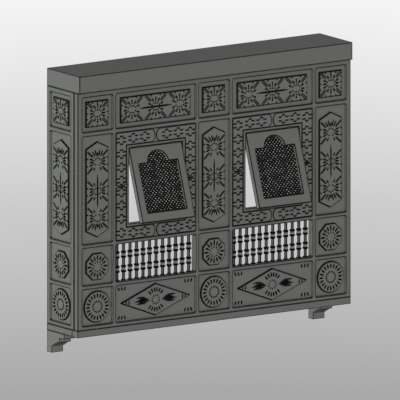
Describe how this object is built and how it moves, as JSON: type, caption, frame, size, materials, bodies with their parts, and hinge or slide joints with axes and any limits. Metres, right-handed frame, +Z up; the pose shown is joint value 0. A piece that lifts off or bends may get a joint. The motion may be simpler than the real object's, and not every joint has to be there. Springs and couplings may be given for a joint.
{
  "type": "mashrabiya window bay",
  "caption": "Wall-hung timber bay with a framed and panelled front and sides, baluster screens, lattice sashes held open, a box cornice and stepped brackets.",
  "frame": {"origin": "middle of the back face of the wall ledger, which is half the base's height above its underside", "axes": "+X to the right along the wall seen from outside, +Y into the wall, +Z up"},
  "size_m": [3, 0.7157, 2.629],
  "materials": {
    "frame_timber": "planed timber under dark grey satin paint",
    "carved_timber": "carved timber under dark grey satin paint",
    "turned_timber": "lathe-turned timber under dark grey satin paint",
    "iron_fittings": "wrought iron under black paint"
  },
  "bodies": {
    "root": {"balusters_left": "turned_timber", "balusters_right": "turned_timber", "base_front_beam": "frame_timber", "base_side_beams": "frame_timber", "bracket_left": "frame_timber", "bracket_right": "frame_timber", "cornice_back_board": "frame_timber", "cornice_ends": "frame_timber", "cornice_fascia": "frame_timber", "cornice_soffit": "frame_timber", "cornice_top": "frame_timber", "floor_boards": "frame_timber", "front_bottom_rail": "frame_timber", "front_corner_stiles": "frame_timber", "front_lower_rails": "frame_timber", "front_middle_rails": "frame_timber", "front_stiles": "frame_timber", "front_top_rail": "frame_timber", "front_upper_rails": "frame_timber", "hexagon_panels": "carved_timber", "left_side_panels": "carved_timber", "left_side_rails": "frame_timber", "left_side_stiles": "frame_timber", "lozenge_panel_left": "carved_timber", "lozenge_panel_right": "carved_timber", "octagon_panels": "carved_timber", "right_side_panels": "carved_timber", "right_side_rails": "frame_timber", "right_side_stiles": "frame_timber", "roundel_panels": "carved_timber", "sash_frame_left": "frame_timber", "sash_frame_right": "frame_timber", "sash_hinges_left": "iron_fittings", "sash_hinges_right": "iron_fittings", "sash_lattice_left": "turned_timber", "sash_lattice_right": "turned_timber", "star_panels": "carved_timber", "triple_star_panel_left": "carved_timber", "triple_star_panel_right": "carved_timber", "wall_ledger": "frame_timber", "window_casing_left": "frame_timber", "window_casing_right": "frame_timber", "window_surround_left": "carved_timber", "window_surround_right": "carved_timber"}
  },
  "joints": []
}
